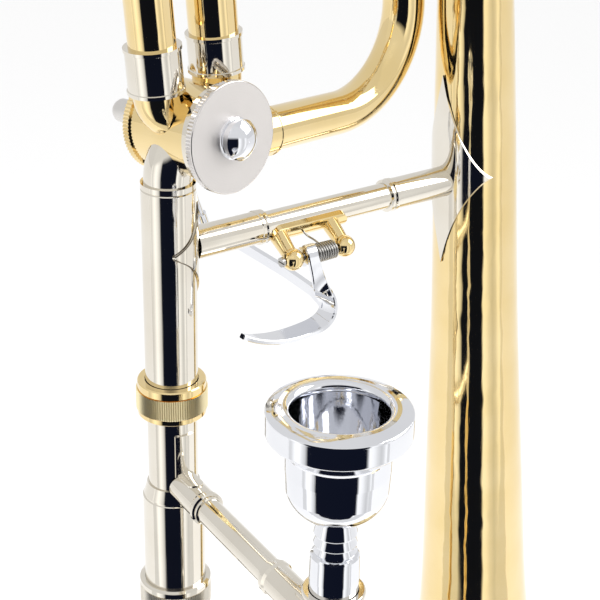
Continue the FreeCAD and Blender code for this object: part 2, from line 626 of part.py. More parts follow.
# ---- thumb trigger -------------------------------------------------------------------------------
def make_trigger_mount():
    """Saddle soldered along the hand brace, two ball-ended posts and the pivot screw between them."""
    lean = V(0, PIVOT_Y, PIVOT_Z)
    lean.normalize()
    x0, x1 = POST_X[0] + 0.4, POST_X[1] + 3.0
    outline = Part.makeBox(x1 - x0, 6.4, 12.0, V(x0, -3.2, 0))
    for x in (x0, x1):
        outline = outline.fuse(Part.makeCylinder(3.2, 12.0, V(x, 0, 0)))
    lying = FreeCAD.Placement(V(0, 0, 0), FreeCAD.Rotation(V(1, 0, 0), lean.cross(V(1, 0, 0)), lean, "ZXY"))
    outline.Placement = lying
    skin = ring(BRACE_MID_R + 1.3, BRACE_MID_R + 0.01, V(20, 0, 0), V(80, 0, 0))
    saddle = skin.common(outline)
    arms = []
    for x in POST_X:
        ball = V(x, PIVOT_Y, PIVOT_Z)
        root = V(x, 0, 0) + lean * (BRACE_MID_R + 0.6)
        arms.append(Part.makeCone(2.85, 2.3, (ball - root).Length, root, ball - root))
        arms.append(Part.makeSphere(BALL_R, ball))
    body = saddle.fuse(arms)
    body = body.cut(rod(BRACE_MID_R + 0.01, V(20, 0, 0), V(80, 0, 0)))
    body = body.cut(rod(1.25, V(POST_X[0] - 5, PIVOT_Y, PIVOT_Z), V(POST_X[1] + 5, PIVOT_Y, PIVOT_Z)))
    save("trigger_saddle", body.removeSplitter())
    head = V(POST_X[0] - BALL_R - 0.5, PIVOT_Y, PIVOT_Z)
    screw = rod(1.2, head, V(POST_X[1] + 2.6, PIVOT_Y, PIVOT_Z))
    cap = rod(1.55, head - V(0.5, 0, 0), head + V(0.42, 0, 0)).cut(
        Part.makeBox(0.4, 4, 0.45, V(head.x - 0.55, PIVOT_Y - 2, PIVOT_Z - 0.22)))
    save("trigger_pivot_screw", screw.fuse(cap).removeSplitter())


LEVER_HUB = (40.2, 44.2)
SPRING_SPAN = (44.5, 52.5)


def make_trigger_spring():
    """Torsion spring on the pivot, with one leg bearing on the saddle and one reaching to the lever."""
    wire = 0.36
    turns = 8
    pitch = (SPRING_SPAN[1] - SPRING_SPAN[0] - 2 * wire) / turns
    start = V(SPRING_SPAN[0] + wire, PIVOT_Y, PIVOT_Z)
    body = coil(2.75, wire, turns, pitch, start, V(1, 0, 0))
    save("trigger_spring", body)


# middle line of the lever strip: x, y, z, turn of its width from +X towards -Y in degrees, half width
LEVER_RUN = [(42.2, -11.6, -4.5, 0, 1.9), (42.2, -13.9, -5.2, 0, 1.9), (42.2, -15.1, -7.6, 0, 1.9),
             (42.9, -15.5, -11.0, 0, 2.0), (43.9, -15.8, -15.0, 8, 2.2), (45.0, -16.0, -18.4, 28, 2.6),
             (46.6, -16.0, -21.2, 58, 3.2), (47.7, -16.0, -24.2, 82, 3.7), (47.2, -16.0, -27.2, 90, 3.9),
             (44.6, -16.0, -29.5, 90, 4.0), (40.4, -16.0, -30.5, 90, 4.0), (35.0, -16.0, -30.9, 90, 3.9),
             (29.0, -16.3, -30.5, 90, 3.6), (23.2, -16.8, -29.2, 90, 3.0), (18.0, -17.4, -27.3, 90, 2.1),
             (14.4, -17.9, -25.4, 90, 1.0)]
LEVER_HALF_THICK = 0.75
CRANK_BALL = V(33.0, 31.4, -14.0)
LINK_AXIS = V(0.999650, 0.014145, 0.022364)      # the link swings about this line through the crank's ball
CRANK_END = CRANK_BALL + LINK_AXIS * 4.4
CRANK_RUN = [V(47.4, -14.2, -24.4), V(47.2, -8.5, -22.2), V(44.9, 4.0, -19.6), CRANK_END]


def lever_section(index):
    """Outline of the lever strip across its middle line, with broken corners."""
    x, y, z, turn, half = LEVER_RUN[index]
    before = LEVER_RUN[max(index - 1, 0)]
    after = LEVER_RUN[min(index + 1, len(LEVER_RUN) - 1)]
    along = V(after[0] - before[0], after[1] - before[1], after[2] - before[2])
    along.normalize()
    wide = V(math.cos(math.radians(turn)), -math.sin(math.radians(turn)), 0)
    normal = along.cross(wide)
    normal.normalize()
    wide = normal.cross(along)
    thick = LEVER_HALF_THICK
    cut = 0.25
    corners = [(half - cut, thick), (half, thick - cut), (half, cut - thick), (half - cut, -thick),
               (cut - half, -thick), (-half, cut - thick), (-half, thick - cut), (cut - half, thick)]
    points = [V(x, y, z) + wide * a + normal * b for a, b in corners]
    return Part.makePolygon(points + points[:1])


def make_trigger():
    """Hub, twisted and hooked thumb strip, and the crank arm with its ball."""
    hub = rod(3.1, V(LEVER_HUB[0], PIVOT_Y, PIVOT_Z), V(LEVER_HUB[1], PIVOT_Y, PIVOT_Z))
    strip = Part.makeLoft([lever_section(i) for i in range(len(LEVER_RUN))], True, False)
    crank = route(CRANK_RUN, [9.0, 30.0])
    path = Part.Wire(crank)
    heading = crank[0].tangentAt(crank[0].FirstParameter)
    frame = frame_at(CRANK_RUN[0], heading, V(1, 0, 0))
    corners = [frame.multVec(V(a, b, 0)) for a, b in ((-0.9, -1.7), (0.9, -1.7), (0.9, 1.7), (-0.9, 1.7))]
    bar = path.makePipeShell([Part.makePolygon(corners + corners[:1])], True, False)
    ball = Part.makeSphere(2.0, CRANK_BALL)
    neck = rod(1.3, CRANK_END, CRANK_BALL)
    lever = hub.fuse([strip, bar, ball, neck])
    lever = lever.cut(rod(1.26, V(30, PIVOT_Y, PIVOT_Z), V(60, PIVOT_Y, PIVOT_Z)))
    save("thumb_trigger", lever.removeSplitter())


def make_link():
    """Link from the trigger's crank to the stop arm, with a ball socket at each end."""
    low = CRANK_BALL
    high = stop_pin(STOP_REST)
    along = high - low
    along.normalize()
    body = rod(1.25, low + along * 3.0, high - along * 3.0)
    holes = []
    for end, way, stud, hole in ((low, 1, LINK_AXIS, 2.6), (high, -1, VALVE_N, 3.15)):
        body = body.fuse(rod(hole + 1.2, end - stud * 1.3, end + stud * 1.3))
        body = body.fuse(rod(1.9, end + along * (way * (hole + 0.6)), end + along * (way * 9.0)))
        holes.append(rod(hole, end - stud * 3.0, end + stud * 3.0))
    save("trigger_link", body.removeSplitter().cut(holes[0]).cut(holes[1]))


# ---- hand slide ----------------------------------------------------------------------------------
def slide_point(across, z):
    return V(SLIDE_U.x * across, SLIDE_U.y * across, z)


def make_lock_nut():
    bore = RECEIVER_R + 0.25
    low_bore = TOP_TUBE_R + 0.12
    height = NUT_TOP - NUT_LOW
    steps = [(bore, height), (NUT_R - 0.3, height), (NUT_R, height - 0.4), (NUT_R, height - 2.6),
             (NUT_R - 0.4, height - 2.8), (NUT_R - 0.4, 2.1), (NUT_R, 1.9), (NUT_R, 0.4), (NUT_R - 0.4, 0),
             (low_bore, 0), (low_bore, 3.2), (THREAD_R + 0.3, 3.2), (THREAD_R + 0.3, height - 1.2),
             (bore, height - 1.2)]
    body = turned(steps, V(0, 0, NUT_LOW), UP)
    grip = knurled(NUT_KNURL_R, NUT_R - 0.5, 6.8, 96, 0.32, V(0, 0, NUT_LOW + 2.1), UP)
    save("slide_lock_nut", body.fuse(grip))


def make_inner_slide():
    top = [(BORE_R, 4.0), (TENON_R, 4.0), (TENON_R, RECEIVER_BOTTOM - 0.4), (TOP_TUBE_R, RECEIVER_BOTTOM - 0.4),
           (TOP_TUBE_R, BARREL_TOP), (INNER_R + 0.01, BARREL_TOP), (INNER_R + 0.01, BARREL_TOP + 4.0),
           (BORE_R, BARREL_TOP + 4.0)]
    save("slide_tenon", turned(top))
    depth = BARREL_TOP - BARREL_LOW
    barrel = [(INNER_R + 0.02, 0), (TOP_TUBE_R + 0.5, 0), (BARREL_R - 0.35, -4.2), (BARREL_R - 0.35, -4.8),
              (BARREL_R, -5.0), (BARREL_R, -depth), (BARREL_R - 0.6, -depth), (BARREL_R - 0.6, -22.0),
              (INNER_R + 0.02, -20.0)]
    save("cork_barrels", turned(barrel, slide_point(0, BARREL_TOP - 0.02), UP),
         turned(barrel, slide_point(SLIDE_WIDTH, BARREL_TOP - 0.02), UP))
    tubes = []
    for across in (0, SLIDE_WIDTH):
        wall_in = INNER_R - 0.25
        steps = [(wall_in, BARREL_TOP + 3.9), (INNER_R, BARREL_TOP + 3.9), (INNER_R, -620.0), (STOCKING_R, -622.0),
                 (STOCKING_R, -738.0), (wall_in, -738.0)]
        tubes.append(turned(steps, slide_point(across, 0), UP))
    save("inner_slide_tubes", *tubes)
    seat = slide_point(SLIDE_WIDTH, 0)
    receiver = [(6.95, MOUTHPIECE_SEAT), (8.3, MOUTHPIECE_SEAT), ("arc", (8.75, MOUTHPIECE_SEAT - 0.9),
                                                                  (8.3, MOUTHPIECE_SEAT - 1.8)),
                (TOP_TUBE_R, MOUTHPIECE_SEAT - 2.4), (TOP_TUBE_R, BARREL_TOP), (INNER_R + 0.01, BARREL_TOP),
                (INNER_R + 0.01, BARREL_TOP + 4.0), (6.9, BARREL_TOP + 4.0), (6.9, MOUTHPIECE_SEAT - 6.0)]
    save("mouthpiece_receiver", turned(receiver, seat, UP))
    lead = [(6.2, -95.0), (INNER_R - 0.27, -95.0), (INNER_R - 0.27, -250.0), (6.5, -250.0), (5.6, -150.0)]
    save("leadpipe", turned(lead, seat, UP))


def stadium(length, half_wide, height):
    """Bar of a width and height along +X from the origin, with a round far end."""
    bar = Part.makeBox(length - half_wide, 2 * half_wide, height, V(0, -half_wide, 0))
    return bar.fuse(Part.makeCylinder(half_wide, height, V(length - half_wide, 0, 0)))


def brace_leaf(base, away, reach, tube_skin):
    """Thin soldered leaf: a strip up the tube and a tab along the top of the brace."""
    strip = placed(stadium(reach, 3.1, 12.0), base, away, UP).common(tube_skin)
    tab = placed(stadium(17.2, 2.6, 8.0), base, UP, away)
    brace_skin = ring(INNER_BRACE_R + 0.6, INNER_BRACE_R + 0.02, base + away * 7.9, base + away * 20.0)
    leaf = strip.fuse(tab.common(brace_skin)).cut(rod(INNER_BRACE_R + 0.02, base, base + away * 25.0))
    return max(leaf.Solids, key=lambda s: s.Volume)


def make_inner_brace():
    left = slide_point(0, INNER_BRACE_Z)
    right = slide_point(SLIDE_WIDTH, INNER_BRACE_Z)
    half = INNER_BRACE_R - 0.75
    save("inner_brace_tube", rod(half, left + SLIDE_U * 16, right - SLIDE_U * 16))
    cores = []
    for across in (0, SLIDE_WIDTH):
        steps = [(0, -60.0), (TOP_TUBE_R + 0.6, -60.0), (TOP_TUBE_R + 0.6, BARREL_TOP),
                 (TOP_TUBE_R + 1.1, BARREL_TOP), (BARREL_R + 0.3, BARREL_TOP - 4.2),
                 (BARREL_R + 0.6, BARREL_TOP - 5.0), (BARREL_R + 0.6, -110.0), (0, -110.0)]
        cores.append(turned(steps, slide_point(across, 0), UP))
    ends = []
    leaves = []
    for across, sign, core, length, reach in ((0, 1, cores[0], 20.4, 22.6),
                                              (SLIDE_WIDTH, -1, cores[1], 28.4, 13.0)):
        steps = [(half + 0.02, 0), (INNER_BRACE_R, 0), (INNER_BRACE_R, length - 4.0),
                 (INNER_BRACE_R + 0.45, length - 3.0), (INNER_BRACE_R + 0.45, length - 1.6),
                 (INNER_BRACE_R - 0.2, length - 1.2), (INNER_BRACE_R - 0.2, length - 0.2), (half + 0.02, length)]
        base = slide_point(across, INNER_BRACE_Z)
        ends.append(turned(steps, base + SLIDE_U * (sign * 4.0), SLIDE_U * sign).cut(core))
        inner = [(0, -60.0), (TOP_TUBE_R + 0.02, -60.0), (TOP_TUBE_R + 0.02, BARREL_TOP),
                 (TOP_TUBE_R + 0.52, BARREL_TOP), (BARREL_R - 0.3, BARREL_TOP - 4.2),
                 (BARREL_R + 0.02, BARREL_TOP - 5.0), (BARREL_R + 0.02, -110.0), (0, -110.0)]
        hollow = turned(inner, slide_point(across, 0), UP)
        leaves.append(brace_leaf(base, SLIDE_U * sign, reach, core.cut(hollow)))
    save("inner_brace_ends", *ends, *leaves)


def make_slide_lock():
    height = LOCK_RING_TOP - LOCK_RING_LOW
    bore = BARREL_R + RUN_GAP
    steps = [(bore, height), (LOCK_RING_R - 0.9, height), (LOCK_RING_R, height - 0.6), (LOCK_RING_R, height - 2.2),
             (LOCK_RING_R - 0.4, height - 2.4), (LOCK_RING_R - 0.4, 1.6), (LOCK_RING_R, 1.4), (LOCK_RING_R, 0),
             (bore, 0)]
    body = turned(steps, V(0, 0, LOCK_RING_LOW), UP)
    grip = knurled(LOCK_RING_R + 0.05, LOCK_RING_R - 0.5, height - 4.2, 96, 0.28, V(0, 0, LOCK_RING_LOW + 1.7), UP)
    save("slide_lock_ring", body.fuse(grip))


def make_outer_slide():
    tubes = []
    for across in (0, SLIDE_WIDTH):
        tubes.append(ring(OUTER_R, OUTER_IN_R, slide_point(across, LEGS_END), slide_point(across, OUTER_TOP)))
    save("outer_slide_tubes", *tubes)
    sleeves = []
    for across in (0, SLIDE_WIDTH):
        steps = [(OUTER_R + 0.01, OUTER_TOP), (OUTER_R + 0.7, OUTER_TOP), (OUTER_R + 0.7, -128.4), (9.6, -128.4),
                 (9.6, -134.0), (OUTER_R + 0.8, -135.0), (OUTER_R + 0.8, OUTER_BRACE_Z - 14.0),
                 (OUTER_R + 0.01, OUTER_BRACE_Z - 15.0)]
        sleeves.append(turned(steps, slide_point(across, 0), UP))
    stud = rod(1.3, V(-9.2, 0, -131.2), V(-12.2, 0, -131.2))
    sleeves[0] = sleeves[0].fuse(stud)
    save("outer_slide_sleeves", *sleeves)
    left = slide_point(0, OUTER_BRACE_Z)
    right = slide_point(SLIDE_WIDTH, OUTER_BRACE_Z)
    half = INNER_BRACE_R - 0.75
    save("outer_brace_tube", rod(half, left + SLIDE_U * 16, right - SLIDE_U * 16))
    ends = []
    for across, sign in ((0, 1), (SLIDE_WIDTH, -1)):
        length = 27.5
        steps = [(half + 0.02, 0), (INNER_BRACE_R + 1.2, 0), (INNER_BRACE_R, 6.0), (INNER_BRACE_R, length - 4.0),
                 (INNER_BRACE_R + 0.45, length - 3.0), (INNER_BRACE_R + 0.45, length - 1.6),
                 (INNER_BRACE_R - 0.2, length - 1.2), (half + 0.02, length)]
        core = rod(OUTER_R + 0.82, slide_point(across, -200), slide_point(across, -110))
        base = slide_point(across, OUTER_BRACE_Z)
        ends.append(turned(steps, base + SLIDE_U * (sign * 4.0), SLIDE_U * sign).cut(core))
    save("outer_brace_ferrules", *ends)

    base_a, base_b = slide_point(0, LEGS_END), slide_point(SLIDE_WIDTH, LEGS_END)
    bow = half_bow(base_a - UP * 0.02, base_b - UP * 0.02, V(0, 0, -1), OUTER_R, OUTER_R, 0.8)
    joints = []
    for across in (0, SLIDE_WIDTH):
        joints.append(ferrule(OUTER_R + 0.6, OUTER_R + 0.01, slide_point(across, LEGS_END + 0.02),
                              slide_point(across, LEGS_END + 16.0)))
    nipple_at, nipple_way = bow_point(NIPPLE_ANGLE, 0), bow_way(NIPPLE_ANGLE)
    hole = rod(1.6, nipple_at, nipple_at + nipple_way * 14)
    save("slide_bow", bow.cut(hole))
    solid_bow = swept_bow(OUTER_R + 0.02)
    nipple = ring(3.4, 1.6, nipple_at + nipple_way * 5.5, nipple_at + nipple_way * 10.4).cut(solid_bow)
    bumper_at = bow_point(0, 0)
    holder = rod(4.6, bumper_at - UP * 5.0, bumper_at - UP * 13.0).cut(solid_bow)
    save("slide_bow_fittings", *joints, nipple, holder)
    tip = turned([(0, -13.02), (4.2, -13.02), (4.4, -18.5), dome(4.4, -18.5, -20.6)], bumper_at, UP)
    save("rubber_bumper", tip)
    return solid_bow


NIPPLE_ANGLE = math.radians(33.0)


def bow_way(angle):
    """Outward direction at an angle round the slide bow from its lowest point, towards the bell side."""
    return SLIDE_U * -math.sin(angle) - UP * math.cos(angle)


def bow_point(angle, outward):
    centre = slide_point(SLIDE_WIDTH / 2, LEGS_END)
    return centre + bow_way(angle) * (SLIDE_WIDTH / 2 + outward)


def swept_bow(radius):
    centre = slide_point(SLIDE_WIDTH / 2, LEGS_END)
    a, b = slide_point(0, LEGS_END), slide_point(SLIDE_WIDTH, LEGS_END)
    arc = Part.Arc(a, centre - UP * (SLIDE_WIDTH / 2), b).toShape()
    return swept([arc], radius)


KEY_ANGLE = math.radians(52.0)


def make_water_key(solid_bow):
    """Sprung lever whose cork closes the drain nipple on the slide bow."""
    normal = SLIDE_U.cross(UP)
    pivot = bow_point(KEY_ANGLE, 13.0)
    way = bow_way(KEY_ANGLE)
    posts = []
    for sign in (-1, 1):
        foot = bow_point(KEY_ANGLE, 4.0) + normal * (sign * 4.2)
        head = pivot + normal * (sign * 4.2)
        post = rod(2.2, foot, head + way * 0.5)
        posts.append(post)
    base = rod(5.0, bow_point(KEY_ANGLE, 6.5), bow_point(KEY_ANGLE, 9.0))
    saddle = base.fuse(posts).cut(solid_bow).cut(rod(1.05, pivot - normal * 8, pivot + normal * 8))
    save("water_key_mount", max(saddle.Solids, key=lambda s: s.Volume),
         rod(1.0, pivot - normal * 6.8, pivot + normal * 6.8))
    seat = bow_point(NIPPLE_ANGLE, 10.46)
    seat_way = bow_way(NIPPLE_ANGLE)
    cork = rod(3.5, seat, seat + seat_way * 2.6)
    cup = rod(4.3, seat + seat_way * 1.4, seat + seat_way * 4.0).cut(rod(3.52, seat, seat + seat_way * 2.62))
    handle = bow_point(math.radians(84.0), 18.0) + UP * 4.0
    hub = rod(1.9, pivot - normal * 1.8, pivot + normal * 1.8)
    arm_a = rod(1.5, pivot, seat + seat_way * 3.3)
    arm_b = rod(1.5, pivot, handle)
    plate = turned([(0, 0), (5.5, 0), ("arc", (6.0, 0.6), (5.5, 1.2)), (0, 1.2)], handle + V(0, 0, 3.0),
                   bow_way(math.radians(84.0)))
    lever = hub.fuse([arm_a, arm_b, cup, plate])
    lever = lever.cut(rod(1.06, pivot - normal * 8, pivot + normal * 8)).cut(rod(3.52, seat, seat + seat_way * 2.62))
    save("water_key_lever", max(lever.Solids, key=lambda s: s.Volume))
    save("water_key_cork", cork)


# ---- mouthpiece ----------------------------------------------------------------------------------
def make_mouthpiece():
    z = 0.0
    outer = [(14.6, z), (15.8, z - 0.12), ("arc", (17.8, -0.75), (18.7, -1.15)),
             ("arc", (19.0, -1.4), (RIM_R, -1.9)), (RIM_R, -7.3), ("arc", (18.98, -7.75), (18.6, -8.1)),
             (14.35, -12.1), (13.95, -12.9), (13.9, -18.0), (13.55, -24.4),
             ("curve", [(12.1, -28.0), (9.3, -31.0), (6.6, -32.4), (4.9, -33.0)]),
             (5.9, -37.7), (5.8, -38.0), (5.1, -38.2), (5.9, -40.9), (5.8, -41.2), (5.1, -41.4), (5.9, -43.3),
             (5.8, -43.6), (5.3, -43.8), (6.3, -44.3), (6.65, -44.9), (6.8, -52.0), (6.45, -75.8),
             (5.6, -75.8), (3.7, -36.0), (3.7, -31.0)]
    inner = [("curve", [(5.6, -26.5), (9.2, -20.5), (11.6, -12.0), (12.7, -3.0)]),
             ("arc", (13.3, -0.55), (14.6, z))]
    seat = slide_point(SLIDE_WIDTH, MOUTHPIECE_Z)
    save("mouthpiece", turned(outer + inner, seat, UP))


make_bell()
make_receiver()
make_hand_brace()
make_valve()
make_rotor()
make_stops()
make_bell_section_tubes()
make_small_braces()
make_main_tuning_slide()
make_f_tuning_slide()
make_trigger_mount()
make_trigger_spring()
make_trigger()
make_link()
make_lock_nut()
make_inner_slide()
make_inner_brace()
make_slide_lock()
make_water_key(make_outer_slide())
make_mouthpiece()
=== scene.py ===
"""Looks for a tenor trombone with a rotary valve: studio, camera, finishes and refined pieces."""
import json
import math

import bpy
from mathutils import Matrix, Vector


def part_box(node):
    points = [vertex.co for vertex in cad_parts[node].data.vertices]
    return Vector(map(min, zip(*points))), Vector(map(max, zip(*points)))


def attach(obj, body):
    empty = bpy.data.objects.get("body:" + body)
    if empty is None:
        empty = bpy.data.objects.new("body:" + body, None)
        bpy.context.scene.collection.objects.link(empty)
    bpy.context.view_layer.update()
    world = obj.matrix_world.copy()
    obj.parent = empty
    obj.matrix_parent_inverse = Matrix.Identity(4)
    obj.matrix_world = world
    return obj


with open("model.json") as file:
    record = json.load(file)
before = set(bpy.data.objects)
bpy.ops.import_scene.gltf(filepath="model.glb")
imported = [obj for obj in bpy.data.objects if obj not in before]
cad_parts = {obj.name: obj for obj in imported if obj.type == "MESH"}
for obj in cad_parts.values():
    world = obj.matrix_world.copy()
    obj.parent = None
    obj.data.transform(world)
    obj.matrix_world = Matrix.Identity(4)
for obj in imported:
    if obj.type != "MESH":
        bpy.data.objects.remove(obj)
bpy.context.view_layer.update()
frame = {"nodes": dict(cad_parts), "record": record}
NODES = frame["nodes"]
JOINTS = {j["name"]: j for j in frame["record"]["behaviour"]["joints"]}
MILLIMETRES = 1000.0             # in a metre

# ---- camera --------------------------------------------------------------------------------------
AZIMUTH = math.radians(-35.58)
ELEVATION = math.radians(25.46)
ROLL = math.radians(1.24)
CAMERA_PLACE = Vector((-0.21052, -0.36168, 0.18259))
LENS = 91.63
SENSOR = 36.0
NEAREST, FARTHEST = 0.01, 100.0


def make_camera():
    data = bpy.data.cameras.new("camera")
    data.lens = LENS
    data.sensor_width = SENSOR
    data.clip_start = NEAREST
    data.clip_end = FARTHEST
    back = Vector((math.sin(AZIMUTH) * math.cos(ELEVATION), -math.cos(AZIMUTH) * math.cos(ELEVATION),
                   math.sin(ELEVATION)))
    right = Vector((math.cos(AZIMUTH), math.sin(AZIMUTH), 0.0))
    up = back.cross(right)
    rolled_right = right * math.cos(ROLL) + up * math.sin(ROLL)
    rolled_up = up * math.cos(ROLL) - right * math.sin(ROLL)
    turn = Matrix((rolled_right, rolled_up, back)).transposed()
    camera = bpy.data.objects.new("camera", data)
    camera.matrix_world = Matrix.Translation(CAMERA_PLACE) @ turn.to_4x4()
    bpy.context.collection.objects.link(camera)
    bpy.context.scene.camera = camera


# ---- shader helpers ------------------------------------------------------------------------------
# sockets of a Mix node by number: its two values and its result, for plain numbers and for colours
NUMBER_FIRST, NUMBER_SECOND, NUMBER_OUT = 2, 3, 0
COLOUR_FIRST, COLOUR_SECOND, COLOUR_OUT = 6, 7, 2


def new_node(tree, kind, **values):
    node = tree.nodes.new(kind)
    for key, value in values.items():
        setattr(node, key, value)
    return node


def spread(tree, value, low, high, out_low, out_high):
    """The value's range from low to high, stretched to the range from out_low to out_high."""
    node = new_node(tree, "ShaderNodeMapRange")
    node.inputs["From Min"].default_value = low
    node.inputs["From Max"].default_value = high
    node.inputs["To Min"].default_value = out_low
    node.inputs["To Max"].default_value = out_high
    tree.links.new(value, node.inputs["Value"])
    return node.outputs["Result"]


def combine(tree, operation, first, second):
    """Two values put through one Math operation."""
    node = new_node(tree, "ShaderNodeMath", operation=operation)
    tree.links.new(first, node.inputs[0])
    tree.links.new(second, node.inputs[1])
    return node.outputs[0]


def own_place(tree):
    """The shaded point in the object's own axes."""
    return new_node(tree, "ShaderNodeTexCoord").outputs["Object"]


def own_axes(tree):
    """The same point's X, Y and Z."""
    parts = new_node(tree, "ShaderNodeSeparateXYZ")
    tree.links.new(own_place(tree), parts.inputs[0])
    return parts.outputs


# ---- studio --------------------------------------------------------------------------------------
FLOOR_LEVEL = -1.385             # under the hand slide at full reach
FLOOR_HALF = 60.0                # so wide that its edge lies at the horizon
TOWARD_CAMERA = Vector((math.sin(AZIMUTH), -math.cos(AZIMUTH), 0.0))
ACROSS = Vector((math.cos(AZIMUTH), math.sin(AZIMUTH), 0.0))

CARD_DISTANCE = 0.25             # the reflector card stands this far in front of the slide receiver
CARD_MIDDLE = -0.35              # level of the card's middle
CARD_HALF_HIGH = 1.0
CARD_HALF_WIDE = 1.3
CARD_COLOUR = (1.0, 1.0, 0.985, 1.0)
GAP_TOP = (0.075, 0.12)          # levels between which the black gap gives way to the light overhead
GAP_FOOT = (-0.48, -0.44)        # and to the floor
OVERHEAD_GLOW = 0.84             # brightness of the card above and below the gap
GAP_HAZE = 0.014                 # a trace of blue in the black gap
GAP_HAZE_COLOUR = (0.16, 0.30, 1.0, 1.0)
MIRRORED_SKY = 0.80              # the white room is a little darker in the metal than behind it
# how bright the card is at each place across it, from the viewer's left to right
CARD_STOPS = [(-1.30, 1.10), (-0.95, 1.12), (-0.72, 0.86), (-0.55, 1.02), (-0.42, 1.26), (-0.33, 1.38),
              (-0.24, 1.15), (-0.17, 0.78), (-0.146, 0.35), (-0.134, 0.004), (0.192, 0.003), (0.205, 0.42),
              (0.222, 1.25), (0.27, 1.15), (0.33, 0.92), (0.42, 0.74), (0.52, 0.86), (0.62, 1.12),
              (0.75, 1.22), (0.95, 0.90), (1.30, 0.70)]

LIGHT_SIZE = 1.4
KEY_PLACE, KEY_POWER = (-1.2, -1.4, 1.8), 30.0
FILL_PLACE, FILL_POWER = (1.6, -0.9, 1.2), 20.0


def card_shader():
    """Glow that changes across the card: bright panels, soft seams and one black gap."""
    material = bpy.data.materials.new("card")
    material.use_nodes = True
    tree = material.node_tree
    tree.nodes.clear()
    axes = own_axes(tree)
    total = None
    for (start, low), (end, high) in zip(CARD_STOPS, CARD_STOPS[1:]):
        if total:
            total = combine(tree, "ADD", total, spread(tree, axes["X"], start, end, 0.0, high - low))
        else:
            total = spread(tree, axes["X"], start, end, low, high)
    overhead = spread(tree, axes["Y"], GAP_TOP[0] - CARD_MIDDLE, GAP_TOP[1] - CARD_MIDDLE, 0.0, 1.0)
    below = spread(tree, axes["Y"], GAP_FOOT[0] - CARD_MIDDLE, GAP_FOOT[1] - CARD_MIDDLE, 1.0, 0.0)
    level = new_node(tree, "ShaderNodeMix", data_type="FLOAT")
    tree.links.new(combine(tree, "MAXIMUM", overhead, below), level.inputs[0])
    tree.links.new(total, level.inputs[NUMBER_FIRST])
    level.inputs[NUMBER_SECOND].default_value = OVERHEAD_GLOW
    glow = new_node(tree, "ShaderNodeEmission")
    glow.inputs["Color"].default_value = CARD_COLOUR
    tree.links.new(level.outputs[NUMBER_OUT], glow.inputs["Strength"])
    haze = new_node(tree, "ShaderNodeEmission")
    haze.inputs["Color"].default_value = GAP_HAZE_COLOUR
    haze.inputs["Strength"].default_value = GAP_HAZE
    both = new_node(tree, "ShaderNodeAddShader")
    tree.links.new(glow.outputs[0], both.inputs[0])
    tree.links.new(haze.outputs[0], both.inputs[1])
    out = new_node(tree, "ShaderNodeOutputMaterial")
    tree.links.new(both.outputs[0], out.inputs[0])
    return material


def rectangle(name, half_wide, half_high, level):
    """Flat rectangle about the origin."""
    mesh = bpy.data.meshes.new(name)
    mesh.from_pydata([(-half_wide, -half_high, level), (half_wide, -half_high, level),
                      (half_wide, half_high, level), (-half_wide, half_high, level)], [], [(0, 1, 2, 3)])
    obj = bpy.data.objects.new(name, mesh)
    bpy.context.collection.objects.link(obj)
    return obj


def make_card():
    """Reflector card that only mirrors see."""
    card = rectangle("card", CARD_HALF_WIDE, CARD_HALF_HIGH, 0)
    card.data.materials.append(card_shader())
    turn = Matrix((ACROSS, Vector((0, 0, 1)), TOWARD_CAMERA)).transposed()
    centre = TOWARD_CAMERA * CARD_DISTANCE + Vector((0, 0, CARD_MIDDLE))
    card.matrix_world = Matrix.Translation(centre) @ turn.to_4x4()
    card.visible_camera = False
    card.visible_diffuse = False
    card.visible_shadow = False
    card.visible_transmission = False
    card.visible_volume_scatter = False


def area_light(name, place, power):
    """Soft square light that points at the origin."""
    data = bpy.data.lights.new(name, "AREA")
    data.shape = "SQUARE"
    data.size = LIGHT_SIZE
    data.energy = power
    obj = bpy.data.objects.new(name, data)
    obj.location = place
    obj.rotation_euler = (-Vector(place)).to_track_quat("-Z", "Y").to_euler()
    obj.visible_camera = False
    bpy.context.collection.objects.link(obj)


def make_studio():
    world = bpy.data.worlds.new("studio")
    world.use_nodes = True
    tree = world.node_tree
    sky = tree.nodes["Background"]
    sky.inputs["Color"].default_value = (1.0, 1.0, 1.0, 1.0)
    mirror_ray = new_node(tree, "ShaderNodeLightPath").outputs["Is Glossy Ray"]
    tree.links.new(spread(tree, mirror_ray, 0.0, 1.0, 1.0, MIRRORED_SKY), sky.inputs["Strength"])
    bpy.context.scene.world = world
    bpy.context.scene.view_settings.view_transform = "Standard"
    bpy.context.scene.view_settings.look = "None"
    floor = rectangle("floor", FLOOR_HALF, FLOOR_HALF, FLOOR_LEVEL)
    pale = bpy.data.materials.new("pale_floor")
    pale.use_nodes = True
    shader = pale.node_tree.nodes["Principled BSDF"]
    shader.inputs["Base Color"].default_value = (0.95, 0.95, 0.95, 1.0)
    shader.inputs["Roughness"].default_value = 0.9
    floor.data.materials.append(pale)
    make_card()
    area_light("key", KEY_PLACE, KEY_POWER)
    area_light("fill", FILL_PLACE, FILL_POWER)


# ---- finishes ------------------------------------------------------------------------------------
HAIRLINE_SCALE = (2600, 2600, 40)          # hairlines run along the piece's own Z
HAIRLINE_STRENGTH, HAIRLINE_DEPTH = 0.05, 0.00005
RIPPLE_DEPTH = 0.0004
BAND_EDGE = 0.00015                        # over which a band's edge fades
FACE_EDGE = 0.0002
CAP_RIM_ROUGHNESS = 0.12
TURNED_SCALE = 5200.0
TURNED_STRENGTH, TURNED_DEPTH = 0.12, 0.00004

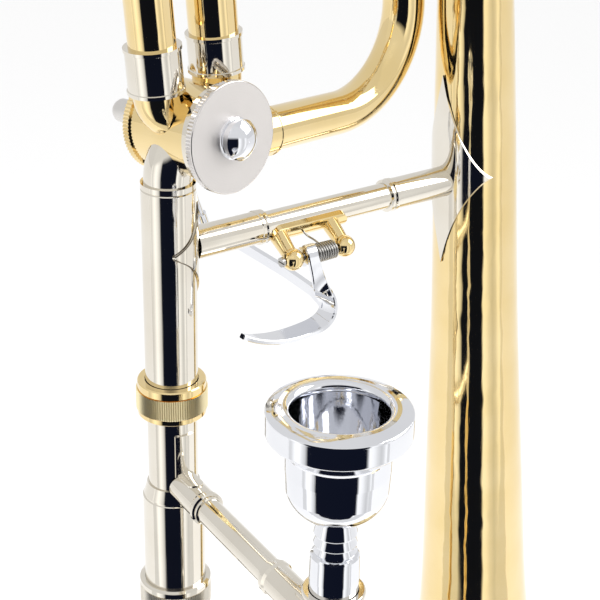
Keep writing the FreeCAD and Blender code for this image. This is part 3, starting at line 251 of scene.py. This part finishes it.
# each finish: its colour and the colour of its clouds
GOLD, GOLD_SHADE = (0.90, 0.71, 0.37), (0.85, 0.65, 0.30)
NICKEL, NICKEL_SHADE = (0.82, 0.78, 0.70), (0.76, 0.71, 0.62)
SATIN, SATIN_SHADE = (0.74, 0.72, 0.70), (0.71, 0.69, 0.66)
CAP, CAP_SHADE = (0.76, 0.73, 0.71), (0.73, 0.70, 0.68)
SILVER, SILVER_SHADE = (0.84, 0.85, 0.88), (0.79, 0.80, 0.84)
STEEL, STEEL_SHADE = (0.52, 0.51, 0.49), (0.40, 0.39, 0.37)
BRONZE, BRONZE_SHADE = (0.62, 0.47, 0.26), (0.52, 0.38, 0.20)
CORK, CORK_SHADE = (0.50, 0.32, 0.16), (0.30, 0.18, 0.08)
RUBBER, RUBBER_SHADE = (0.02, 0.02, 0.02), (0.04, 0.04, 0.04)
# near-black solder: partly the real solder seam, partly a painted shadow line along the leaf's edges
SOLDER_AND_SHADOW_LINE, SOLDER_AND_SHADOW_LINE_SHADE = (0.16, 0.14, 0.12), (0.24, 0.21, 0.17)

NUT_KNURL = (0.0021, 0.0089)     # the nut's knurled band, above its foot
NUT_KNURL_TINT = (1.0, 0.88, 0.56)
NUT_KNURL_ROUGHNESS = 0.40
LOCK_KNURL = (0.0017, 0.0025)    # the lock ring's smooth margins at its foot and at its top
LOCK_KNURL_ROUGHNESS = 0.35
CAP_FACE_RADIUS = 0.0158
CAP_FACE_ROUGHNESS = 0.52
COLLAR_TOP = 0.045               # the valve's gold collar is below this level, the nickel ones above it
BELOW_ALL = -1.0


def noise(tree, coords, scale, detail, stretch=None):
    """Noise in object space; stretch gives a scale for each axis."""
    texture = new_node(tree, "ShaderNodeTexNoise")
    texture.inputs["Scale"].default_value = scale
    texture.inputs["Detail"].default_value = detail
    if stretch:
        mapping = new_node(tree, "ShaderNodeMapping")
        mapping.inputs["Scale"].default_value = stretch
        tree.links.new(coords, mapping.inputs["Vector"])
        coords = mapping.outputs["Vector"]
    tree.links.new(coords, texture.inputs["Vector"])
    return texture.outputs["Fac"]


def bump(tree, height, strength, depth):
    node = new_node(tree, "ShaderNodeBump")
    node.inputs["Strength"].default_value = strength
    node.inputs["Distance"].default_value = depth
    tree.links.new(height, node.inputs["Height"])
    return node


def metal(name, colour, shade, roughness, rough_spread=0.03, ripple=0.022, coat=0.0):
    """Plated or lacquered metal: a cloudy tint, smudged gloss, hairlines and a faint ripple."""
    material = bpy.data.materials.new(name)
    material.use_nodes = True
    tree = material.node_tree
    shader = tree.nodes["Principled BSDF"]
    coords = own_place(tree)
    shader.inputs["Metallic"].default_value = 1.0
    shader.inputs["Coat Weight"].default_value = coat
    shader.inputs["Coat Roughness"].default_value = 0.04
    tint = new_node(tree, "ShaderNodeMix", data_type="RGBA")
    tint.inputs[COLOUR_FIRST].default_value = (*colour, 1.0)
    tint.inputs[COLOUR_SECOND].default_value = (*shade, 1.0)
    tree.links.new(spread(tree, noise(tree, coords, 55.0, 4.0), 0.3, 0.7, 0.0, 1.0), tint.inputs[0])
    tree.links.new(tint.outputs[COLOUR_OUT], shader.inputs["Base Color"])
    smudge = noise(tree, coords, 120.0, 6.0)
    tree.links.new(spread(tree, smudge, 0.35, 0.7, roughness, roughness + rough_spread),
                   shader.inputs["Roughness"])
    hair = spread(tree, noise(tree, coords, 1.0, 2.0, HAIRLINE_SCALE), 0.62, 0.75, 0.0, 1.0)
    hairlines = bump(tree, hair, HAIRLINE_STRENGTH, HAIRLINE_DEPTH)
    waves = bump(tree, noise(tree, coords, 140.0, 2.0), ripple, RIPPLE_DEPTH)
    tree.links.new(hairlines.outputs["Normal"], waves.inputs["Normal"])
    tree.links.new(waves.outputs["Normal"], shader.inputs["Normal"])
    return material


def not_metal(material):
    """Cork and rubber share the metals' clouds and smudges."""
    material.node_tree.nodes["Principled BSDF"].inputs["Metallic"].default_value = 0.0
    return material


def height_band(tree, low, high):
    """1 between two levels of the object and 0 outside them."""
    level = own_axes(tree)["Z"]
    above = spread(tree, level, low, low + BAND_EDGE, 0.0, 1.0)
    below = spread(tree, level, high - BAND_EDGE, high, 1.0, 0.0)
    return combine(tree, "MULTIPLY", above, below)


def dull_band(material, low, high, roughness):
    """Make a cut or knurled band less glossy than the rest of its piece."""
    tree = material.node_tree
    socket = tree.nodes["Principled BSDF"].inputs["Roughness"]
    blend = new_node(tree, "ShaderNodeMix", data_type="FLOAT")
    tree.links.new(height_band(tree, low, high), blend.inputs[0])
    tree.links.new(socket.links[0].from_socket, blend.inputs[NUMBER_FIRST])
    blend.inputs[NUMBER_SECOND].default_value = roughness
    tree.links.new(blend.outputs[NUMBER_OUT], socket)


def tint_band(material, low, high, colour):
    """Give what lies between two levels of a piece another colour."""
    tree = material.node_tree
    socket = tree.nodes["Principled BSDF"].inputs["Base Color"]
    blend = new_node(tree, "ShaderNodeMix", data_type="RGBA")
    tree.links.new(height_band(tree, low, high), blend.inputs[0])
    tree.links.new(socket.links[0].from_socket, blend.inputs[COLOUR_FIRST])
    blend.inputs[COLOUR_SECOND].default_value = (*colour, 1.0)
    tree.links.new(blend.outputs[COLOUR_OUT], socket)


def turned_marks(material, centre, axis, roughness, face_radius):
    """Fine rings that a lathe leaves on a flat face, about an axis; the rim outside it stays glossy."""
    tree = material.node_tree
    shader = tree.nodes["Principled BSDF"]
    away = new_node(tree, "ShaderNodeVectorMath", operation="SUBTRACT")
    tree.links.new(own_place(tree), away.inputs[0])
    away.inputs[1].default_value = centre
    across = new_node(tree, "ShaderNodeVectorMath", operation="CROSS_PRODUCT")
    tree.links.new(away.outputs[0], across.inputs[0])
    across.inputs[1].default_value = axis
    radius = new_node(tree, "ShaderNodeVectorMath", operation="LENGTH")
    tree.links.new(across.outputs[0], radius.inputs[0])
    rings = new_node(tree, "ShaderNodeTexNoise", noise_dimensions="1D")
    rings.inputs["Scale"].default_value = TURNED_SCALE
    rings.inputs["Detail"].default_value = 2.0
    tree.links.new(radius.outputs["Value"], rings.inputs["W"])
    face = spread(tree, rings.outputs["Fac"], 0.3, 0.7, roughness - 0.05, roughness + 0.08)
    blend = new_node(tree, "ShaderNodeMix", data_type="FLOAT")
    tree.links.new(spread(tree, radius.outputs["Value"], face_radius, face_radius + FACE_EDGE, 0.0, 1.0),
                   blend.inputs[0])
    tree.links.new(face, blend.inputs[NUMBER_FIRST])
    blend.inputs[NUMBER_SECOND].default_value = CAP_RIM_ROUGHNESS
    tree.links.new(blend.outputs[NUMBER_OUT], shader.inputs["Roughness"])
    marks = bump(tree, rings.outputs["Fac"], TURNED_STRENGTH, TURNED_DEPTH)
    tree.links.new(marks.outputs["Normal"], shader.inputs["Normal"])


def finish_nodes():
    """Give every CAD node the look of its material slot, and four nodes a look of their own."""
    by_slot = {
        "gold_lacquer": metal("gold_lacquer_looks", GOLD, GOLD_SHADE, 0.045, coat=0.7),
        "nickel": metal("nickel_looks", NICKEL, NICKEL_SHADE, 0.05),
        "nickel_satin": metal("nickel_satin_looks", SATIN, SATIN_SHADE, 0.34, 0.05, ripple=0.0),
        "silver_plate": metal("silver_looks", SILVER, SILVER_SHADE, 0.04),
        "steel": metal("steel_looks", STEEL, STEEL_SHADE, 0.16, 0.08),
        "rotor_metal": metal("rotor_looks", BRONZE, BRONZE_SHADE, 0.25, 0.1),
        "cork": not_metal(metal("cork_looks", CORK, CORK_SHADE, 0.85, 0.1)),
        "rubber": not_metal(metal("rubber_looks", RUBBER, RUBBER_SHADE, 0.6, 0.15)),
    }
    nut = metal("nut_looks", GOLD, GOLD_SHADE, 0.05, coat=0.4)
    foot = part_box("slide_lock_nut")[0][2]
    dull_band(nut, foot + NUT_KNURL[0], foot + NUT_KNURL[1], NUT_KNURL_ROUGHNESS)
    tint_band(nut, foot + NUT_KNURL[0], foot + NUT_KNURL[1], NUT_KNURL_TINT)
    lock = metal("lock_ring_looks", NICKEL, NICKEL_SHADE, 0.05)
    low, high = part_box("slide_lock_ring")
    dull_band(lock, low[2] + LOCK_KNURL[0], high[2] - LOCK_KNURL[1], LOCK_KNURL_ROUGHNESS)
    cap = metal("valve_cap_looks", CAP, CAP_SHADE, 0.5, 0.05, ripple=0.0)
    middle = [(a + b) / 2 for a, b in zip(*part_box("valve_cap"))]
    turned_marks(cap, middle, JOINTS["rotor_turn"]["axis"], CAP_FACE_ROUGHNESS, CAP_FACE_RADIUS)
    collars = metal("collar_looks", NICKEL, NICKEL_SHADE, 0.05)
    tint_band(collars, BELOW_ALL, COLLAR_TOP, GOLD)
    own = {"slide_lock_nut": nut, "slide_lock_ring": lock, "valve_cap": cap, "windway_ferrules": collars}
    for part in frame["record"]["subparts"]:
        mesh = NODES[part["node"]].data
        mesh.materials.clear()
        mesh.materials.append(own.get(part["node"], by_slot[part["material_slot"]]))


# ---- added detail --------------------------------------------------------------------------------
# half height of the leaf round the receiver, in mm, against degrees round it from the brace
LEAF_EDGE = [(20, 12.9), (32, 10.6), (45, 8.5), (56, 6.5), (70, 4.4), (85, 2.7), (100, 1.3), (113, 0.35)]
LEAF_LEVEL = 0.6
LEAF_RADIUS = 8.72
# thickness of the solder wire, which is also the painted shadow line at the leaf's edges
SOLDER_AND_SHADOW_LINE_RADIUS = 0.00016
SPRING_LEG = [(0.0462, -0.0120, -0.0044), (0.0463, -0.0100, -0.0041), (0.0464, -0.0078, -0.0042),
              (0.0461, -0.0060, -0.0040), (0.0452, -0.0052, -0.0026)]
SPRING_LEG_RADIUS = 0.00034


def wire_piece(name, points, radius, material):
    """Round wire through some points, as a mesh that rides on the bell section."""
    curve = bpy.data.curves.new(name, "CURVE")
    curve.dimensions = "3D"
    curve.bevel_depth = radius
    curve.bevel_resolution = 3
    curve.resolution_u = 8
    curve.use_fill_caps = True
    line = curve.splines.new("NURBS")
    line.points.add(len(points) - 1)
    for spot, place in zip(line.points, points):
        spot.co = (*place, 1.0)
    line.use_endpoint_u = True
    line.order_u = 4
    rough = bpy.data.objects.new(name + "_line", curve)
    bpy.context.collection.objects.link(rough)
    bpy.context.view_layer.update()
    mesh = bpy.data.meshes.new_from_object(rough.evaluated_get(bpy.context.evaluated_depsgraph_get()))
    bpy.data.objects.remove(rough)
    mesh.materials.clear()
    mesh.materials.append(material)
    for polygon in mesh.polygons:
        polygon.use_smooth = True
    piece = bpy.data.objects.new(name, mesh)
    bpy.context.collection.objects.link(piece)
    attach(piece, "bell_section")


def make_detail():
    """Near-black solder lines round the receiver's leaf, partly real solder seam and partly a painted
    shadow line along its edges, and the spring's leg that bears on the saddle.
    """
    # dark wire along the leaf's edges: real solder, and painted shade where the leaf meets the tube
    solder_and_shadow_line = metal("solder_and_shadow_line_looks", SOLDER_AND_SHADOW_LINE, SOLDER_AND_SHADOW_LINE_SHADE, 0.3, 0.1)
    for side, side_name in ((-1, "front"), (1, "back")):
        for up, up_name in ((-1, "low"), (1, "high")):
            points = []
            for turn, half in LEAF_EDGE:
                way = math.radians(turn) * side
                points.append(((LEAF_RADIUS * math.cos(way)) / MILLIMETRES,
                               (LEAF_RADIUS * math.sin(way)) / MILLIMETRES,
                               (LEAF_LEVEL + up * half) / MILLIMETRES))
            wire_piece("leaf_solder_%s_%s" % (side_name, up_name), points, SOLDER_AND_SHADOW_LINE_RADIUS, solder_and_shadow_line)
    wire = metal("spring_leg_looks", STEEL, STEEL_SHADE, 0.16, 0.08)
    wire_piece("spring_leg", SPRING_LEG, SPRING_LEG_RADIUS, wire)


make_camera()
make_studio()
finish_nodes()
make_detail()
